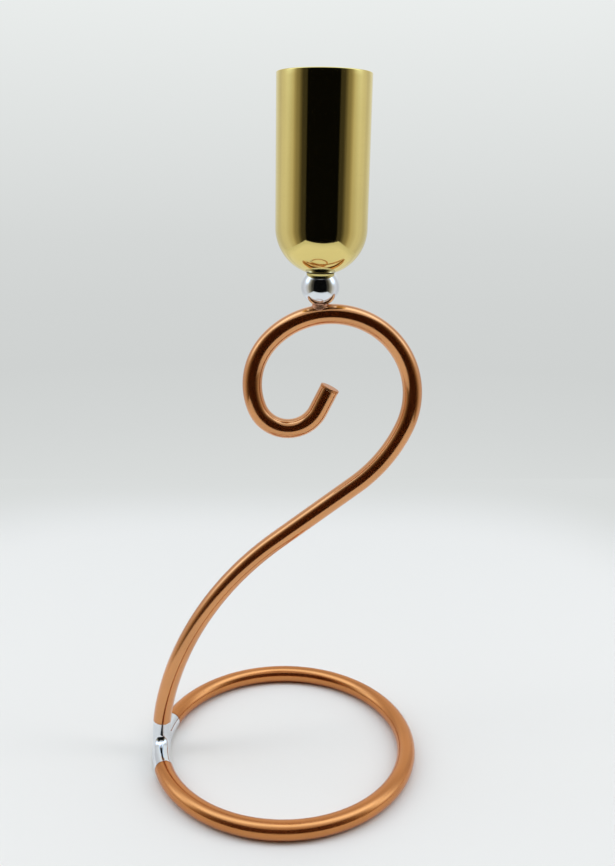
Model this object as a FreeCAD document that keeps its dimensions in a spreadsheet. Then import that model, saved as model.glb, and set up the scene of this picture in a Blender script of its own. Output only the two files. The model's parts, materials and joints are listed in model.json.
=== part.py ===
import FreeCAD, Part
import math
import os
import Sketcher

# Spiral candle holder. A tube ring lies flat on the table with its centre at
# the origin. A tee on the ring's left (-X) carries a tube that rises in the
# XZ plane, bends back over the ring and curls in. A ball on top of the curl
# carries an upright candle cup, held by one screw from inside the cup.
# Lengths are in millimetres, turns in degrees.

SIZES = [
    # tube of the ring and of the scroll
    ("tube_size", 10.0, "outside diameter of the tube"),
    ("tube_wall", 1.0, "wall of the tube"),
    ("ring_radius", 70.0, "centre line of the ring"),
    # tee
    ("tee_reach", 22.0, "from the tee's middle to each ring end, along the ring"),
    ("arm_rise", 4.0, "straight foot of the tee's arm, above the ring's centre line"),
    ("arm_angle", 6.2, "turn of the tee's arm"),
    ("arm_relief", 0.05, "the arm's surface below the tube's"),
    ("tee_fillet", 4.2, "fillet where the arm meets the run"),
    ("plug_length", 8.0, "plugs of the tee, inside the tubes"),
    ("plug_gap", 0.05, "clearance round a plug, taken up by the joint's solder"),
    # bends of the scroll, from the tee up to the free end
    ("foot_radius", 110.0, "bend of the arm and of the tube's foot"),
    ("foot_angle", 6.1, "turn of the tube's foot"),
    ("stem_radius", 170.0, "long bend of the stem"),
    ("stem_angle", 40.1, "turn of the stem"),
    ("diagonal_run", 52.2, "straight run across the ring"),
    ("shoulder_radius", 78.0, "bend of the shoulder"),
    ("shoulder_angle", 29.6, "turn of the shoulder"),
    ("crown_radius", 42.0, "bend of the crown"),
    ("crown_angle", 161.0, "turn of the crown"),
    ("loop_radius", 33.0, "bend on the left of the loop"),
    ("loop_angle", 64.7, "turn on the left of the loop"),
    ("curl_radius", 17.0, "bend of the curl"),
    ("curl_angle", 131.4, "turn of the curl"),
    ("tip_run", 12.5, "straight run at the free end"),
    # plug that closes the free end
    ("cap_thickness", 1.2, "disc over the tube's end"),
    ("cap_plug", 6.0, "part of the plug inside the tube"),
    ("cap_round", 0.4, "rounded rim of the disc"),
    # boss on the crown
    ("seat_angle", 121.5, "place of the boss on the crown bend, from the bend's start"),
    ("boss_size", 7.6, "diameter of the boss"),
    ("boss_rise", 0.5, "boss above the top of the tube"),
    ("boss_stud", 5.6, "diameter of the boss inside the tube"),
    ("boss_depth", 1.5, "boss below the tube's centre line"),
    ("stud_gap", 0.05, "clearance of the boss in the tube's hole"),
    # ball
    ("ball_size", 19.0, "diameter of the ball"),
    ("ball_low", 8.6, "ball's centre above its lower flat"),
    ("ball_high", 6.6, "ball's upper flat above its centre"),
    # screw and washers
    ("screw_size", 4.0, "diameter of the screw"),
    ("thread_gap", 0.05, "clearance of the screw in the boss"),
    ("hole_gap", 0.25, "clearance of the screw in the pieces that it clamps"),
    ("head_size", 8.0, "diameter of the screw's head"),
    ("head_height", 2.6, "height of the screw's head"),
    ("head_round", 1.2, "rounding of the screw's head"),
    ("slot_width", 1.0, "one slot of the cross in the head"),
    ("slot_length", 4.6, "length of a slot"),
    ("slot_depth", 1.4, "depth of a slot"),
    ("screw_end", 1.0, "screw short of the boss's lower end"),
    ("washer_size", 12.0, "diameter of the washer under the head"),
    ("washer_thickness", 1.0, "thickness of that washer"),
    ("seat_size", 14.0, "diameter of the washer under the cup"),
    ("seat_thickness", 0.5, "thickness of that washer"),
    # candle cup
    ("cup_bore", 41.5, "inside diameter of the cup"),
    ("cup_wall", 1.5, "wall of the cup"),
    ("cup_straight", 69.2, "straight wall, from the round bottom to the rim"),
    ("cup_base", 16.0, "diameter of the flat under the round bottom"),
    ("rim_round", 0.5, "rounding of the rim's edges"),
]

doc = FreeCAD.newDocument("candle_holder")
sheet = doc.addObject("Spreadsheet::Sheet", "sizes")
for row, (alias, number, meaning) in enumerate(SIZES, start=1):
    sheet.set("A%d" % row, meaning)
    sheet.set("B%d" % row, repr(number))
    sheet.setAlias("B%d" % row, alias)
doc.recompute()


class Formula:
    """A number, and the expression that works it out from the sheet."""

    def __init__(self, value, text):
        self.value = value
        self.text = text

    def __add__(self, other):
        other = formula(other)
        return Formula(self.value + other.value, "(%s + %s)" % (self.text, other.text))

    def __sub__(self, other):
        other = formula(other)
        return Formula(self.value - other.value, "(%s - %s)" % (self.text, other.text))

    def __mul__(self, other):
        other = formula(other)
        return Formula(self.value * other.value, "%s * %s" % (self.text, other.text))

    def __truediv__(self, other):
        other = formula(other)
        return Formula(self.value / other.value, "%s / (%s)" % (self.text, other.text))

    def __neg__(self):
        return Formula(-self.value, "(0 - %s)" % self.text)


def formula(item):
    return item if isinstance(item, Formula) else Formula(float(item), repr(item))


def size(alias):
    return Formula(float(sheet.get(alias)), "sizes." + alias)


def sine(angle):
    return Formula(math.sin(math.radians(angle.value)), "sin(%s)" % angle.text)


def cosine(angle):
    return Formula(math.cos(math.radians(angle.value)), "cos(%s)" % angle.text)


def root(area):
    return Formula(math.sqrt(area.value), "sqrt(%s)" % area.text)


def arc_angle(length, radius):
    """Angle, in degrees, that a length covers on an arc."""
    return length / radius * Formula(math.degrees(1), "(180 / pi)")


def bind(item, path, amount):
    item.setExpression(path, formula(amount).text)


# numbers by which a constraint names a shape's points and the sketch's own axes
START_INDEX = 1
END_INDEX = 2
CENTRE_INDEX = 3
X_AXIS_INDEX = -1
Y_AXIS_INDEX = -2
ORIGIN_INDICES = (X_AXIS_INDEX, START_INDEX)

ZERO = formula(0)
HALF = formula(0.5)
FULL_TURN = formula(360)

# sizes worked out once and shared by several pieces
tube_radius = size("tube_size") * HALF
bore_radius = tube_radius - size("tube_wall")
plug_radius = bore_radius - size("plug_gap")
ring_radius = size("ring_radius")
ring_height = tube_radius
clear_radius = size("screw_size") * HALF + size("hole_gap")


class Place:
    """A place on the scroll's centre line, with the tube's lean there, from
    upright towards +X."""

    def __init__(self, x, z, lean):
        self.x = x
        self.z = z
        self.lean = lean

    def bend(self, radius, turn, side):
        """Place after a bend to the right (side 1) or to the left (side -1)."""
        lean = self.lean + turn * side
        reach = radius * side
        x = self.x + reach * (cosine(self.lean) - cosine(lean))
        z = self.z + reach * (sine(lean) - sine(self.lean))
        return Place(x, z, lean)

    def run(self, length):
        x = self.x + length * sine(self.lean)
        z = self.z + length * cosine(self.lean)
        return Place(x, z, self.lean)

    def centre(self, radius, side):
        """Centre of a bend that starts or ends here."""
        reach = radius * side
        return self.x + reach * cosine(self.lean), self.z - reach * sine(self.lean)


RIGHT = 1
LEFT = -1
ARM_STEPS = [
    ("run", "arm_rise"),
    ("bend", "foot_radius", "arm_angle", RIGHT),
]
SCROLL_STEPS = [
    ("bend", "foot_radius", "foot_angle", RIGHT),
    ("bend", "stem_radius", "stem_angle", RIGHT),
    ("run", "diagonal_run"),
    ("bend", "shoulder_radius", "shoulder_angle", LEFT),
    ("bend", "crown_radius", "crown_angle", LEFT),
    ("bend", "loop_radius", "loop_angle", LEFT),
    ("bend", "curl_radius", "curl_angle", LEFT),
    ("run", "tip_run"),
]


def walk(start, steps):
    """Places at the ends of the steps, the start first."""
    places = [start]
    for step in steps:
        if step[0] == "run":
            places.append(places[-1].run(size(step[1])))
        else:
            places.append(places[-1].bend(size(step[1]), size(step[2]), step[3]))
    return places


def scroll_route_length():
    """Length of the scroll's centre line, for a check of its volume."""
    length = 0
    for step in SCROLL_STEPS:
        if step[0] == "run":
            length += size(step[1]).value
        else:
            length += size(step[1]).value * math.radians(size(step[2]).value)
    return length


arm_places = walk(Place(-ring_radius, ring_height, ZERO), ARM_STEPS)
arm_top = arm_places[-1]
scroll_places = walk(arm_top, SCROLL_STEPS)
crown_start = scroll_places[4]
tip = scroll_places[-1]
seat = crown_start.bend(size("crown_radius"), size("seat_angle"), LEFT)
crown_centre = crown_start.centre(size("crown_radius"), LEFT)

# heights up the cup's axis
boss_top = seat.z + tube_radius + size("boss_rise")
ball_centre = boss_top + size("ball_low")
ball_top = ball_centre + size("ball_high")
cup_bottom = ball_top + size("seat_thickness")


def start_body(name, x=ZERO, z=ZERO):
    body = doc.addObject("PartDesign::Body", name)
    body.Label = name
    bind(body, "Placement.Base.x", x)
    bind(body, "Placement.Base.z", z)
    return body


def origin_plane(body, role):
    return [item for item in body.Origin.OriginFeatures if item.Role == role][0]


def start_sketch(body, name, role):
    sketch = body.newObject("Sketcher::SketchObject", name)
    sketch.AttachmentSupport = [(origin_plane(body, role), "")]
    sketch.MapMode = "FlatFace"
    return sketch


def flat(x, y):
    return FreeCAD.Vector(formula(x).value, formula(y).value, 0)


def hold(sketch, kind, *items):
    """Constraint whose last item is the formula that it is bound to."""
    amount = formula(items[-1])
    value = math.radians(amount.value) if kind == "Angle" else amount.value
    number = sketch.addConstraint(Sketcher.Constraint(kind, *items[:-1], value))
    bind(sketch, "Constraints[%d]" % number, amount)


def hold_point(sketch, shape, end, x, y):
    """Ties one point of a shape to its place in the sketch's plane."""
    for kind, axis, amount in (("DistanceX", Y_AXIS_INDEX, x), ("DistanceY", X_AXIS_INDEX, y)):
        if formula(amount).value == 0:
            sketch.addConstraint(Sketcher.Constraint("PointOnObject", shape, end, axis))
        else:
            hold(sketch, kind, *ORIGIN_INDICES, shape, end, amount)


def add_circle(sketch, x, y, radius):
    circle = Part.Circle(flat(x, y), FreeCAD.Vector(0, 0, 1), radius.value)
    shape = sketch.addGeometry(circle)
    hold_point(sketch, shape, CENTRE_INDEX, x, y)
    hold(sketch, "Radius", shape, radius)


def add_outline(sketch, corners):
    """Closed outline through corners (x, y). A corner (x, y, radius, centre)
    ends a round stretch about the centre."""
    shapes = []
    for before, corner in zip(corners[-1:] + corners[:-1], corners):
        start = flat(*before[:2])
        end = flat(*corner[:2])
        if len(corner) == 2:
            line = sketch.addGeometry(Part.LineSegment(start, end))
            shapes.append((line, START_INDEX, END_INDEX))
            continue
        radius, centre = corner[2:]
        middle = flat(*centre)
        left_turn = (start - middle).cross(end - middle).z > 0
        first, last = (start, end) if left_turn else (end, start)
        circle = Part.Circle(middle, FreeCAD.Vector(0, 0, 1), radius.value)
        arc = Part.ArcOfCircle(circle, circle.parameter(first), circle.parameter(last))
        shape = sketch.addGeometry(arc)
        shapes.append((shape, START_INDEX, END_INDEX) if left_turn else (shape, END_INDEX, START_INDEX))
    for (shape, start_end, last_end), (after, after_start, after_end) in zip(
        shapes, shapes[1:] + shapes[:1]
    ):
        tie = Sketcher.Constraint("Coincident", shape, last_end, after, after_start)
        sketch.addConstraint(tie)
    for (shape, start_end, last_end), corner in zip(shapes, corners):
        hold_point(sketch, shape, last_end, corner[0], corner[1])
        if len(corner) > 2:
            hold(sketch, "Radius", shape, corner[2])


def add_route(sketch, places, steps):
    """Centre line of a bent tube: straight runs and tangent bends."""
    before = None
    for start, end, step in zip(places, places[1:], steps):
        if step[0] == "run":
            line = Part.LineSegment(flat(start.x, start.z), flat(end.x, end.z))
            shape = sketch.addGeometry(line)
            hold(sketch, "Distance", shape, size(step[1]))
            ends = (START_INDEX, END_INDEX)
        else:
            radius, turn, side = size(step[1]), size(step[2]), step[3]
            middle = start.centre(radius, side)
            circle = Part.Circle(flat(*middle), FreeCAD.Vector(0, 0, 1), radius.value)
            first, last = (start, end) if side == LEFT else (end, start)
            arc = Part.ArcOfCircle(
                circle,
                circle.parameter(flat(first.x, first.z)),
                circle.parameter(flat(last.x, last.z)),
            )
            shape = sketch.addGeometry(arc)
            hold(sketch, "Radius", shape, radius)
            hold(sketch, "Angle", shape, turn)
            ends = (START_INDEX, END_INDEX) if side == LEFT else (END_INDEX, START_INDEX)
        if before is None:
            hold_point(sketch, shape, ends[0], start.x, start.z)
            if step[0] == "run":
                sketch.addConstraint(Sketcher.Constraint("Vertical", shape))
            else:
                hold(sketch, "DistanceY", *ORIGIN_INDICES, shape, CENTRE_INDEX, middle[1])
        else:
            joint = Sketcher.Constraint("Tangent", before[0], before[1], shape, ends[0])
            sketch.addConstraint(joint)
        before = (shape, ends[1])


def revolve(body, sketch, name, angle=FULL_TURN, axis="V_Axis", middle=False):
    feature = body.newObject("PartDesign::Revolution", name)
    feature.Profile = sketch
    feature.ReferenceAxis = (sketch, [axis])
    feature.Midplane = middle
    bind(feature, "Angle", angle)
    return feature


def pipe(body, kind, profile, route, name):
    feature = body.newObject("PartDesign::" + kind, name)
    feature.Profile = profile
    feature.Spine = route
    return feature


def tilt(sketch, x, z, lean):
    """Moves a sketch on the level plane to x, z and leans it with the tube."""
    turned = FreeCAD.Rotation(FreeCAD.Vector(0, 1, 0), lean.value)
    sketch.AttachmentOffset = FreeCAD.Placement(FreeCAD.Vector(0, 0, 0), turned)
    bind(sketch, "AttachmentOffset.Base.x", x)
    bind(sketch, "AttachmentOffset.Base.z", z)
    bind(sketch, "AttachmentOffset.Rotation.Angle", lean)


def make_base_ring():
    """Tube bent round in a ring, open where the tee sits."""
    body = start_body("base_ring")
    sketch = start_sketch(body, "ring_section", "XZ_Plane")
    add_circle(sketch, ring_radius, ring_height, tube_radius)
    add_circle(sketch, ring_radius, ring_height, bore_radius)
    opening = arc_angle(size("tee_reach"), ring_radius) * formula(2)
    revolve(body, sketch, "ring_tube", FULL_TURN - opening, middle=True)
    return body


def add_tee_run(body):
    """Run of the tee, along the ring."""
    reach = arc_angle(size("tee_reach"), ring_radius)
    sketch = start_sketch(body, "run_section", "XZ_Plane")
    add_circle(sketch, -ring_radius, ring_height, tube_radius)
    revolve(body, sketch, "run", reach * formula(2), middle=True)


def add_tee_arm(body):
    """Arm of the tee, blended into the run by a fillet."""
    route = start_sketch(body, "arm_route", "XZ_Plane")
    add_route(route, arm_places, ARM_STEPS)
    sketch = start_sketch(body, "arm_section", "XY_Plane")
    tilt(sketch, ZERO, ring_height, ZERO)
    add_circle(sketch, -ring_radius, ZERO, tube_radius - size("arm_relief"))
    arm = pipe(body, "AdditivePipe", sketch, route, "arm")
    doc.recompute()
    seam = [
        "Edge%d" % number
        for number, edge in enumerate(arm.Shape.Edges, start=1)
        if isinstance(edge.Curve, Part.BSplineCurve)
    ]
    blend = body.newObject("PartDesign::Fillet", "arm_blend")
    blend.Base = (arm, seam)
    bind(blend, "Radius", size("tee_fillet"))


def add_tee_plugs(body):
    """Plugs of the tee that go into the ring's ends and into the scroll."""
    turn = arc_angle(size("tee_reach") + size("plug_length"), ring_radius)
    sketch = start_sketch(body, "plug_section", "XZ_Plane")
    add_circle(sketch, -ring_radius, ring_height, plug_radius)
    revolve(body, sketch, "ring_plugs", turn * formula(2), middle=True)

    turn = arc_angle(size("plug_length"), size("foot_radius"))
    end = arm_top.bend(size("foot_radius"), turn, RIGHT)
    middle = arm_top.centre(size("foot_radius"), RIGHT)
    route = start_sketch(body, "arm_plug_route", "XZ_Plane")
    circle = Part.Circle(flat(*middle), FreeCAD.Vector(0, 0, 1), size("foot_radius").value)
    first = circle.parameter(flat(end.x, end.z))
    last = circle.parameter(flat(arm_top.x, arm_top.z))
    shape = route.addGeometry(Part.ArcOfCircle(circle, first, last))
    hold_point(route, shape, CENTRE_INDEX, *middle)
    hold_point(route, shape, END_INDEX, arm_top.x, arm_top.z)
    hold(route, "Angle", shape, turn)
    sketch = start_sketch(body, "arm_plug_section", "XY_Plane")
    tilt(sketch, arm_top.x, arm_top.z, arm_top.lean)
    add_circle(sketch, ZERO, ZERO, plug_radius)
    pipe(body, "AdditivePipe", sketch, route, "arm_plug")


def make_joint_tee():
    """Cast tee: a run along the ring, an arm up to the scroll, and a plug for
    each tube."""
    body = start_body("joint_tee")
    add_tee_run(body)
    add_tee_arm(body)
    add_tee_plugs(body)
    return body


def make_scroll_tube():
    """Tube that carries the cup, bent in one plane, with the boss's hole."""
    body = start_body("scroll_tube")
    route = start_sketch(body, "scroll_route", "XZ_Plane")
    add_route(route, scroll_places, SCROLL_STEPS)
    section = start_sketch(body, "scroll_section", "XY_Plane")
    tilt(section, arm_top.x, arm_top.z, arm_top.lean)
    add_circle(section, ZERO, ZERO, tube_radius)
    pipe(body, "AdditivePipe", section, route, "scroll")
    bore = start_sketch(body, "bore_section", "XY_Plane")
    tilt(bore, arm_top.x, arm_top.z, arm_top.lean)
    add_circle(bore, ZERO, ZERO, bore_radius)
    pipe(body, "SubtractivePipe", bore, route, "scroll_bore")
    hole = start_sketch(body, "boss_hole", "XY_Plane")
    tilt(hole, ZERO, seat.z, ZERO)
    add_circle(hole, seat.x, ZERO, size("boss_stud") * HALF + size("stud_gap"))
    pocket = body.newObject("PartDesign::Pocket", "boss_opening")
    pocket.Profile = hole
    pocket.Reversed = True
    bind(pocket, "Length", size("tube_size"))
    return body


def make_end_plug():
    """Disc with a short plug, pressed into the free end of the scroll."""
    body = start_body("end_plug", tip.x, tip.z)
    body.Placement.Rotation = FreeCAD.Rotation(FreeCAD.Vector(0, 1, 0), tip.lean.value)
    sketch = start_sketch(body, "plug_profile", "XZ_Plane")
    add_outline(
        sketch,
        [
            (ZERO, -size("cap_plug")),
            (plug_radius, -size("cap_plug")),
            (plug_radius, ZERO),
            (tube_radius, ZERO),
            (tube_radius, size("cap_thickness") - size("cap_round")),
            (
                tube_radius - size("cap_round"),
                size("cap_thickness"),
                size("cap_round"),
                (
                    tube_radius - size("cap_round"),
                    size("cap_thickness") - size("cap_round"),
                ),
            ),
            (ZERO, size("cap_thickness")),
        ],
    )
    revolve(body, sketch, "plug")
    return body


def make_cylinder(name, radius, height, x, z):
    cylinder = doc.addObject("Part::Cylinder", name)
    bind(cylinder, "Radius", radius)
    bind(cylinder, "Height", height)
    bind(cylinder, "Placement.Base.x", x)
    bind(cylinder, "Placement.Base.z", z)
    return cylinder


def combine(kind, name, base, tool):
    result = doc.addObject("Part::" + kind, name)
    result.Base = base
    result.Tool = tool
    result.Label = name
    return result


def make_cup_boss():
    """Boss brazed on the crown: a collar that fits the tube's round back, and
    a stud through the tube's wall, tapped for the screw."""
    collar = make_cylinder(
        "boss_collar", size("boss_size") * HALF, boss_top - seat.z, seat.x, seat.z
    )
    back = doc.addObject("Part::Torus", "tube_back")
    back.Placement.Rotation = FreeCAD.Rotation(FreeCAD.Vector(1, 0, 0), 90)
    bind(back, "Radius1", size("crown_radius"))
    bind(back, "Radius2", tube_radius)
    bind(back, "Placement.Base.x", crown_centre[0])
    bind(back, "Placement.Base.z", crown_centre[1])
    saddle = combine("Cut", "boss_saddle", collar, back)
    bottom = seat.z - size("boss_depth")
    stud = make_cylinder(
        "boss_stud_bar", size("boss_stud") * HALF, boss_top - bottom, seat.x, bottom
    )
    blank = combine("Fuse", "boss_blank", saddle, stud)
    thread = make_cylinder(
        "boss_thread",
        size("screw_size") * HALF + size("thread_gap"),
        boss_top - bottom,
        seat.x,
        bottom,
    )
    return combine("Cut", "cup_boss", blank, thread)


def make_washer(name, diameter, thickness, bottom):
    disc = make_cylinder(name + "_disc", diameter * HALF, thickness, seat.x, bottom)
    hole = make_cylinder(name + "_hole", clear_radius, thickness, seat.x, bottom)
    return combine("Cut", name, disc, hole)


def make_spacer_ball():
    """Ball with a flat above and below, drilled through."""
    body = start_body("spacer_ball", seat.x, ball_centre)
    radius = size("ball_size") * HALF
    low = size("ball_low")
    high = size("ball_high")
    low_flat = root(radius * radius - low * low)
    high_flat = root(radius * radius - high * high)
    sketch = start_sketch(body, "ball_profile", "XZ_Plane")
    add_outline(
        sketch,
        [
            (clear_radius, -low),
            (low_flat, -low),
            (high_flat, high, radius, (ZERO, ZERO)),
            (clear_radius, high),
        ],
    )
    revolve(body, sketch, "ball")
    return body


def make_candle_cup():
    """Drawn cup: a straight wall on a round bottom with a small flat."""
    body = start_body("candle_cup", seat.x, cup_bottom)
    inner = size("cup_bore") * HALF
    outer = inner + size("cup_wall")
    flat_radius = size("cup_base") * HALF
    dome = root(outer * outer - flat_radius * flat_radius)
    depth = dome - size("cup_wall")
    inner_flat = root(inner * inner - depth * depth)
    rim = dome + size("cup_straight")
    soft = size("rim_round")
    sketch = start_sketch(body, "cup_profile", "XZ_Plane")
    add_outline(
        sketch,
        [
            (clear_radius, ZERO),
            (flat_radius, ZERO),
            (outer, dome, outer, (ZERO, dome)),
            (outer, rim - soft),
            (outer - soft, rim, soft, (outer - soft, rim - soft)),
            (inner + soft, rim),
            (inner, rim - soft, soft, (inner + soft, rim - soft)),
            (inner, dome),
            (inner_flat, size("cup_wall"), inner, (ZERO, dome)),
            (clear_radius, size("cup_wall")),
        ],
    )
    revolve(body, sketch, "cup")
    return body


def make_cup_screw():
    """Pan-head screw with a cross in its head. Its origin is under the head."""
    washer_top = cup_bottom + size("cup_wall") + size("washer_thickness")
    boss_bottom = seat.z - size("boss_depth")
    length = washer_top - boss_bottom - size("screw_end")
    body = start_body("cup_screw", seat.x, washer_top)
    head = size("head_size") * HALF
    height = size("head_height")
    soft = size("head_round")
    sketch = start_sketch(body, "screw_profile", "XZ_Plane")
    add_outline(
        sketch,
        [
            (ZERO, -length),
            (size("screw_size") * HALF, -length),
            (size("screw_size") * HALF, ZERO),
            (head, ZERO),
            (head, height - soft),
            (head - soft, height, soft, (head - soft, height - soft)),
            (ZERO, height),
        ],
    )
    revolve(body, sketch, "screw")
    slot = start_sketch(body, "slot", "XY_Plane")
    tilt(slot, ZERO, height, ZERO)
    half_length = size("slot_length") * HALF
    half_width = size("slot_width") * HALF
    add_outline(
        slot,
        [
            (-half_length, -half_width),
            (half_length, -half_width),
            (half_length, half_width),
            (-half_length, half_width),
        ],
    )
    pocket = body.newObject("PartDesign::Pocket", "slot_cut")
    pocket.Profile = slot
    bind(pocket, "Length", size("slot_depth"))
    doc.recompute()
    cross = body.newObject("PartDesign::PolarPattern", "cross")
    cross.Originals = [pocket]
    cross.Axis = (slot, ["N_Axis"])
    cross.Angle = 90
    cross.Occurrences = 2
    body.Tip = cross
    return body


pieces = [
    make_base_ring(),
    make_joint_tee(),
    make_scroll_tube(),
    make_end_plug(),
    make_cup_boss(),
    make_spacer_ball(),
    make_washer("seat_washer", size("seat_size"), size("seat_thickness"), ball_top),
    make_candle_cup(),
    make_washer(
        "cup_washer",
        size("washer_size"),
        size("washer_thickness"),
        cup_bottom + size("cup_wall"),
    ),
    make_cup_screw(),
]
doc.recompute()

for item in doc.Objects:
    if "Invalid" in item.State or "Error" in item.State:
        raise RuntimeError("%s is %s" % (item.Name, item.State))
for piece in pieces:
    shape = piece.Shape
    if shape.isNull() or not shape.isValid() or len(shape.Solids) != 1:
        raise RuntimeError("%s has no sound solid" % piece.Label)

os.makedirs("parts", exist_ok=True)
for piece in pieces:
    piece.Shape.exportStep("parts/%s.step" % piece.Label)
    print("%-12s %9.2f mm3" % (piece.Label, piece.Shape.Volume))

tube_length = scroll_route_length()
tube_section = math.pi * (tube_radius.value ** 2 - bore_radius.value ** 2)
print("scroll: %.2f mm long, %.2f mm3" % (tube_length, tube_length * tube_section))
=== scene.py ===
"""Looks of the spiral candle holder: its metals, its fine detail and a plain stage.

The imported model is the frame. Each smooth piece here stands for the node of its name and keeps its
place, so that polished metal shows clean reflections. Lengths are in metres, angles in radians.
"""

import json
import math
from typing import NamedTuple

import bmesh
import bpy
from mathutils import Matrix, Vector


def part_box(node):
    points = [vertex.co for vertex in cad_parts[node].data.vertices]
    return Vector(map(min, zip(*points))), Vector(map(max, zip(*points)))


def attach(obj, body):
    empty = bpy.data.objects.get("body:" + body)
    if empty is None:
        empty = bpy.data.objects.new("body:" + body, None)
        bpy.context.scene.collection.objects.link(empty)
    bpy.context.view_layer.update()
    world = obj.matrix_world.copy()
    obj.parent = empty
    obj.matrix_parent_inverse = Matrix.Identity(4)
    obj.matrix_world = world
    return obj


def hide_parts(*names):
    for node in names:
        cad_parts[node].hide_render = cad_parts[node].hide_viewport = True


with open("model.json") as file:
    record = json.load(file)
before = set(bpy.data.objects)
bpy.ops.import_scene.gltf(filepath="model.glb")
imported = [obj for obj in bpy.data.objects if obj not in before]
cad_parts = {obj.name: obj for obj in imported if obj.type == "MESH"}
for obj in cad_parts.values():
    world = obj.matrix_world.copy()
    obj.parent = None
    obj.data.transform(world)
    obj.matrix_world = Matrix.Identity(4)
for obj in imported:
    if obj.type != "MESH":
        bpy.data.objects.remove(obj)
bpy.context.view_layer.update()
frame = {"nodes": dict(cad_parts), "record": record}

bl_info = {
    "name": "Spiral Candle Holder",
    "version": (1, 0, 0),
    "blender": (4, 5, 0),
    "location": "View3D > Sidebar > Candle Holder",
    "description": "Dresses a spiral candle holder and sets up its stage",
    "category": "Object",
}

BODY = "root"
SOCKET = next(item for item in frame["record"]["mounts"] if item["name"] == "candle_socket")


def half_size(node, axis=1):
    """Half of a node's size along an axis, with the size to a tenth of a millimetre."""
    low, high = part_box(node)
    return round(high[axis] - low[axis], 4) / 2


def node_level(node, end):
    """Height of a node's bottom (end 0) or top (end 1)."""
    return round(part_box(node)[end].z, 5)


TUBE_RADIUS = half_size("base_ring", 2)
RING_RADIUS = half_size("base_ring") - TUBE_RADIUS


def scalar(name, description, default, **kind):
    return bpy.props.FloatProperty(name=name, description=description, default=default, **kind)


def metres(name, description, default):
    return scalar(name, description, default, unit="LENGTH")


def degrees(name, description, default):
    return scalar(name, description, math.radians(default), subtype="ANGLE")


def rgb(name, description, default, most=1):
    return bpy.props.FloatVectorProperty(
        name=name, description=description, subtype="COLOR", default=default, min=0, max=most
    )


class HolderTubeSizes(bpy.types.PropertyGroup):
    """Tube of the ring and of the scroll, with its bends from the tee to the free end."""

    tube_radius: metres("Tube radius", "Outside radius of the tube", TUBE_RADIUS)
    wall: metres("Wall", "Wall of the tube", 0.001)
    ring_radius: metres("Ring radius", "Centre line of the ring", RING_RADIUS)
    tee_reach: metres("Tee reach", "From the tee's middle to each end of the ring", 0.022)
    arm_rise: metres("Arm rise", "Straight foot of the arm, above the ring's centre line", 0.004)
    arm_turn: degrees("Arm turn", "Turn of the tee's arm", 6.2)
    foot_turn: degrees("Foot turn", "Turn of the tube's foot, after the tee's arm", 6.1)
    foot_radius: metres("Foot radius", "Bend at the foot", 0.110)
    stem_radius: metres("Stem radius", "Long bend of the stem", 0.170)
    stem_turn: degrees("Stem turn", "Turn of the stem", 40.1)
    diagonal_run: metres("Diagonal", "Straight run across the ring", 0.0522)
    shoulder_radius: metres("Shoulder radius", "Bend of the shoulder", 0.078)
    shoulder_turn: degrees("Shoulder turn", "Turn of the shoulder", 29.6)
    crown_radius: metres("Crown radius", "Bend of the crown", 0.042)
    crown_turn: degrees("Crown turn", "Turn of the crown", 161.0)
    loop_radius: metres("Loop radius", "Bend on the left of the loop", 0.033)
    loop_turn: degrees("Loop turn", "Turn on the left of the loop", 64.7)
    curl_radius: metres("Curl radius", "Bend of the curl", 0.017)
    curl_turn: degrees("Curl turn", "Turn of the curl", 131.4)
    tip_run: metres("Tip run", "Straight run at the free end", 0.0125)
    tee_fillet: metres("Tee fillet", "Fillet where the tee's arm meets its run", 0.0042)
    plug_length: metres("Plug length", "Plugs of the tee, inside the tubes", 0.008)
    bore_depth: metres("Bore depth", "Open bore behind each end of a tube", 0.012)
    joint_groove: metres("Joint groove", "Broken edge where a tube meets the tee", 0.00012)
    sides: bpy.props.IntProperty(
        name="Sides", description="Faces round the tube", default=64, min=12
    )
    step: metres("Step", "Length of a face along the tube", 0.0015)
    cap_thickness: metres("Cap thickness", "Disc on the free end", 0.0012)
    cap_round: metres("Cap rounding", "Rounding of the disc's rim", 0.0004)
    cap_plug: metres("Cap plug", "Plug behind the disc, inside the tube", 0.006)


class HolderCupSizes(bpy.types.PropertyGroup):
    """Cup, ball, boss and screw on the holder's upright axis."""

    axis_x: metres("Axis", "Place of the cup's axis", SOCKET["pos_m"][0])
    bore_radius: metres("Bore radius", "Inside radius of the cup", SOCKET["dims"]["r_mm"] / 1000)
    cup_radius: metres("Cup radius", "Outside radius of the cup", half_size("candle_cup"))
    cup_bottom: metres("Cup bottom", "Height of the cup's bottom", node_level("candle_cup", 0))
    cup_top: metres("Cup top", "Height of the cup's rim", node_level("candle_cup", 1))
    base_radius: metres("Base radius", "Flat under the cup's round bottom", 0.008)
    rim_round: metres("Rim rounding", "Rounding of the rim's edges", 0.0005)
    ball_radius: metres("Ball radius", "Radius of the ball", half_size("spacer_ball"))
    ball_low: metres("Ball centre", "Ball's centre above its lower flat", 0.0086)
    boss_radius: metres("Boss radius", "Radius of the boss on the tube", half_size("cup_boss"))
    boss_stud: metres("Boss stud", "Radius of the boss inside the tube", 0.0028)
    boss_bead: metres("Boss bead", "Bead of braze round the boss's foot", 0.0004)
    hole_radius: metres("Hole radius", "Holes that the screw passes through", 0.00225)
    sides: bpy.props.IntProperty(
        name="Sides", description="Faces round a turned piece", default=144, min=12
    )


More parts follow.
